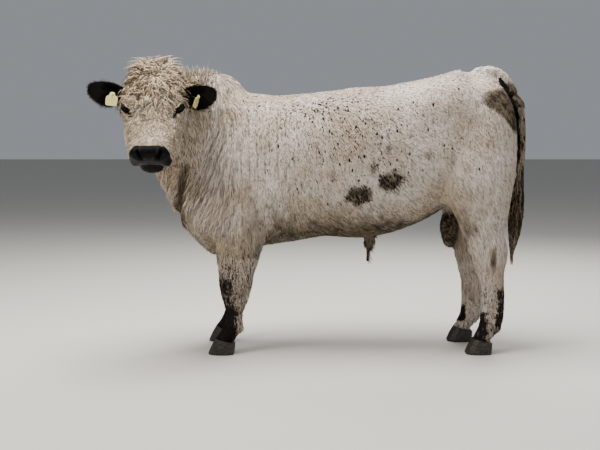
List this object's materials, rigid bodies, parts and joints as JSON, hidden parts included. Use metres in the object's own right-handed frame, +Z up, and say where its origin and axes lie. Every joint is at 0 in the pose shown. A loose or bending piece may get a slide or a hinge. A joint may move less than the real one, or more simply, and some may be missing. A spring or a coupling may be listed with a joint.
{
  "type": "speckle park bull",
  "caption": "Young polled beef bull standing still with its head turned to its left, cream white coat with black speckles, black ears and muzzle and a tag in each ear",
  "frame": {"origin": "on the floor below the middle of the whole box", "axes": "+X from the head end to the tail, +Y to the bull's right side, -Y its left side which the head is turned to, +Z up"},
  "size_m": [2.0376, 0.9096, 1.3588],
  "materials": {
    "claw_fore_left_inner": "dark horn, satin, of the two claws of a cloven foot",
    "claw_fore_left_outer": "dark horn, satin, of the two claws of a cloven foot",
    "claw_fore_right_inner": "dark horn, satin, of the two claws of a cloven foot",
    "claw_fore_right_outer": "dark horn, satin, of the two claws of a cloven foot",
    "claw_hind_left_inner": "dark horn, satin, of the two claws of a cloven foot",
    "claw_hind_left_outer": "dark horn, satin, of the two claws of a cloven foot",
    "claw_hind_right_inner": "dark horn, satin, of the two claws of a cloven foot",
    "claw_hind_right_outer": "dark horn, satin, of the two claws of a cloven foot",
    "ear_left": "black hair",
    "ear_right": "black hair",
    "eye_left": "wet dark globe",
    "eye_right": "wet dark globe",
    "foreleg_lower_left": "cream white cattle coat with small black speckles",
    "foreleg_lower_right": "cream white cattle coat with small black speckles",
    "foreleg_upper_left": "cream white cattle coat with small black speckles",
    "foreleg_upper_right": "cream white cattle coat with small black speckles",
    "head": "cream white cattle coat with small black speckles",
    "hindleg_lower_left": "cream white cattle coat with small black speckles",
    "hindleg_lower_right": "cream white cattle coat with small black speckles",
    "hindleg_upper_left": "cream white cattle coat with small black speckles",
    "hindleg_upper_right": "cream white cattle coat with small black speckles",
    "neck": "cream white cattle coat with small black speckles",
    "scrotum": "thinly haired dark skin",
    "sheath": "thinly haired dark skin",
    "tag_left": "pale yellow flexible plastic, bare",
    "tag_right": "pale yellow flexible plastic, bare",
    "tail_dock": "black hair",
    "tail_middle": "black hair",
    "tail_switch": "black hair",
    "trunk": "cream white cattle coat with small black speckles"
  },
  "bodies": {
    "root": {"claw_fore_left_inner": "claw_fore_left_inner", "claw_fore_left_outer": "claw_fore_left_outer", "claw_fore_right_inner": "claw_fore_right_inner", "claw_fore_right_outer": "claw_fore_right_outer", "claw_hind_left_inner": "claw_hind_left_inner", "claw_hind_left_outer": "claw_hind_left_outer", "claw_hind_right_inner": "claw_hind_right_inner", "claw_hind_right_outer": "claw_hind_right_outer", "ear_left": "ear_left", "ear_right": "ear_right", "eye_left": "eye_left", "eye_right": "eye_right", "foreleg_lower_left": "foreleg_lower_left", "foreleg_lower_right": "foreleg_lower_right", "foreleg_upper_left": "foreleg_upper_left", "foreleg_upper_right": "foreleg_upper_right", "head": "head", "hindleg_lower_left": "hindleg_lower_left", "hindleg_lower_right": "hindleg_lower_right", "hindleg_upper_left": "hindleg_upper_left", "hindleg_upper_right": "hindleg_upper_right", "neck": "neck", "scrotum": "scrotum", "sheath": "sheath", "tag_left": "tag_left", "tag_right": "tag_right", "tail_dock": "tail_dock", "tail_middle": "tail_middle", "tail_switch": "tail_switch", "trunk": "trunk"}
  },
  "joints": []
}
